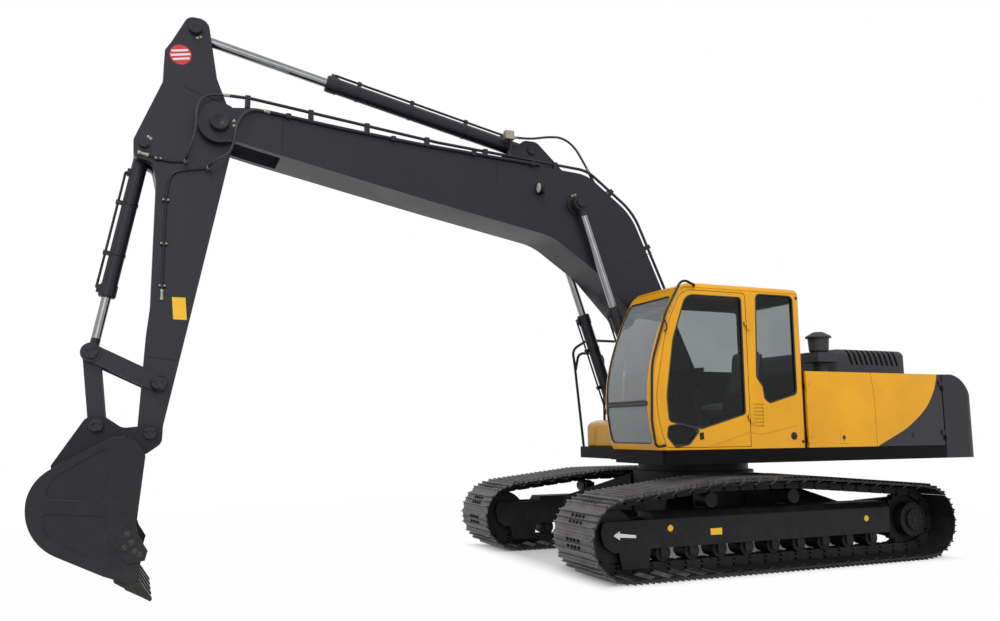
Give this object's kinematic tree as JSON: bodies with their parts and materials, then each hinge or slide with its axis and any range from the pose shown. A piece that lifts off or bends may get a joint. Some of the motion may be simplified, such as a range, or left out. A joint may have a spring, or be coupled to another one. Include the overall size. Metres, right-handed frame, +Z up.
{
  "type": "crawler excavator",
  "caption": "Full-size crawler excavator with slewing upper structure, glazed cab, boom, arm and toothed bucket moved by cylinders, standing on its tracks.",
  "frame": {"origin": "on the ground under the slewing axis", "axes": "+X forward along the boom, +Y to the cab side, +Z up"},
  "size_m": [10.095, 3.384, 5.4675],
  "materials": {
    "frame_black": "satin",
    "track_steel": "worn",
    "counterweight_paint": "satin",
    "engine_iron": "matt",
    "body_yellow": "gloss",
    "hood_plastic": "matt",
    "pipe_steel": "satin",
    "glass": "clear",
    "seat_fabric": "woven",
    "console_plastic": "matt",
    "boom_charcoal": "satin",
    "rod_chrome": "polished",
    "hose_rubber": "matt"
  },
  "bodies": {
    "undercarriage": {"car_body": "frame_black", "slew_ring": "track_steel", "track_frame_left": "frame_black", "track_frame_right": "frame_black", "track_left": "track_steel", "track_right": "track_steel", "front_idlers": "frame_black", "final_drives": "frame_black", "track_rollers": "frame_black", "carrier_rollers": "frame_black"},
    "upper": {"swing_frame": "frame_black", "counterweight": "counterweight_paint", "engine_block": "engine_iron", "house_frame": "frame_black", "hydraulic_tank": "body_yellow", "fuel_tank": "body_yellow", "tool_box": "body_yellow", "precleaner": "hood_plastic", "exhaust_pipe": "pipe_steel", "handrail": "pipe_steel", "cab_grab_rail": "pipe_steel", "cab_shell": "body_yellow", "cab_roof": "body_yellow", "side_glass": "glass", "right_glass": "glass", "rear_glass": "glass", "windshield": "glass", "low_screen": "glass", "operator_seat": "seat_fabric", "control_consoles": "console_plastic"},
    "cab_door": {"cab_door": "body_yellow", "door_glass": "glass", "leaf_glass": "glass"},
    "left_front_door": {"left_front_door": "body_yellow"},
    "left_rear_door": {"left_rear_door": "body_yellow"},
    "pump_door": {"pump_door": "body_yellow"},
    "engine_hood": {"engine_hood": "hood_plastic"},
    "boom": {"boom": "boom_charcoal", "hose_a": "hose_rubber", "hose_b": "hose_rubber", "hose_c": "hose_rubber"},
    "lift_barrels": {"lift_barrels": "boom_charcoal"},
    "lift_rods": {"lift_rods": "rod_chrome"},
    "arm_cylinder_barrel": {"arm_cylinder_barrel": "boom_charcoal"},
    "arm_cylinder_rod": {"arm_cylinder_rod": "rod_chrome"},
    "arm": {"arm": "boom_charcoal"},
    "bucket_cylinder_barrel": {"bucket_cylinder_barrel": "boom_charcoal"},
    "bucket_cylinder_rod": {"bucket_cylinder_rod": "rod_chrome"},
    "idler_links": {"idler_links": "boom_charcoal"},
    "power_link": {"power_link": "boom_charcoal"},
    "bucket": {"bucket": "boom_charcoal"}
  },
  "joints": [
    {"name": "slew", "type": "hinge", "parent": "undercarriage", "child": "upper", "pos_m": [0, 0, 1.04], "axis": [0, 0, 1], "continuous": true},
    {"name": "cab_door_hinge", "type": "hinge", "parent": "upper", "child": "cab_door", "pos_m": [0.246, 1.423, 2], "axis": [0, 0, 1], "range_deg": [0, 150]},
    {"name": "left_front_door_hinge", "type": "hinge", "parent": "upper", "child": "left_front_door", "pos_m": [-0.514, 1.419, 1.6], "axis": [0, 0, 1], "range_deg": [-100, 0]},
    {"name": "left_rear_door_hinge", "type": "hinge", "parent": "upper", "child": "left_rear_door", "pos_m": [-2.546, 1.419, 1.6], "axis": [0, 0, 1], "range_deg": [0, 100]},
    {"name": "pump_door_hinge", "type": "hinge", "parent": "upper", "child": "pump_door", "pos_m": [-2.546, -1.419, 1.6], "axis": [0, 0, -1], "range_deg": [0, 100]},
    {"name": "engine_hood_hinge", "type": "hinge", "parent": "upper", "child": "engine_hood", "pos_m": [-2.774, 0, 2.049], "axis": [0, -1, 0], "range_deg": [0, 70]},
    {"name": "boom_lift", "type": "hinge", "parent": "upper", "child": "boom", "pos_m": [0.132, 0, 1.785], "axis": [0, -1, 0], "range_deg": [-71, 34]},
    {"name": "lift_barrel_swing", "type": "hinge", "parent": "upper", "child": "lift_barrels", "pos_m": [0.75, 0, 1.35], "axis": [0, -1, 0], "range_deg": [-73, 36]},
    {"name": "lift_rod_slide", "type": "slide", "parent": "lift_barrels", "child": "lift_rods", "axis": [0.3271, 0, 0.945], "range_m": [-0.84, 0.41]},
    {"name": "arm_crowd", "type": "hinge", "parent": "boom", "child": "arm", "pos_m": [5.53, 0, 4.4], "axis": [0, 1, 0], "range_deg": [-78, 38]},
    {"name": "arm_barrel_swing", "type": "hinge", "parent": "boom", "child": "arm_cylinder_barrel", "pos_m": [2.125, 0, 4.58], "axis": [0, 1, 0], "range_deg": [-3, 3]},
    {"name": "arm_rod_slide", "type": "slide", "parent": "arm_cylinder_barrel", "child": "arm_cylinder_rod", "axis": [0.9785, 0, 0.2061], "range_m": [-1.14, 0.56]},
    {"name": "bucket_curl", "type": "hinge", "parent": "arm", "child": "bucket", "pos_m": [6.02, 0, 1.42], "axis": [0, 1, 0], "range_deg": [-50, 120]},
    {"name": "bucket_barrel_swing", "type": "hinge", "parent": "arm", "child": "bucket_cylinder_barrel", "pos_m": [6.19, 0, 4.13], "axis": [0, 1, 0], "range_deg": [-3, 3]},
    {"name": "bucket_rod_slide", "type": "slide", "parent": "bucket_cylinder_barrel", "child": "bucket_cylinder_rod", "axis": [0.1732, 0, -0.9849], "range_m": [-0.34, 0.8]},
    {"name": "idler_swing", "type": "hinge", "parent": "arm", "child": "idler_links", "pos_m": [5.97, 0, 1.87], "axis": [0, 1, 0], "range_deg": [-36, 85]},
    {"name": "power_link_swing", "type": "hinge", "parent": "idler_links", "child": "power_link", "pos_m": [6.54, 0, 2.14], "axis": [0, 1, 0], "range_deg": [-49, 21]}
  ],
  "couplings": [
    {"joint": "lift_barrel_swing", "follows": "boom_lift", "ratio": 1.01},
    {"joint": "lift_rod_slide", "follows": "boom_lift", "m_per_rad": 0.67},
    {"joint": "arm_barrel_swing", "follows": "arm_crowd", "ratio": 0.02},
    {"joint": "arm_rod_slide", "follows": "arm_crowd", "m_per_rad": 0.83},
    {"joint": "bucket_barrel_swing", "follows": "bucket_curl", "ratio": 0.01},
    {"joint": "bucket_rod_slide", "follows": "bucket_curl", "m_per_rad": 0.38},
    {"joint": "idler_swing", "follows": "bucket_curl", "ratio": 0.69},
    {"joint": "power_link_swing", "follows": "bucket_curl", "ratio": -0.4}
  ]
}
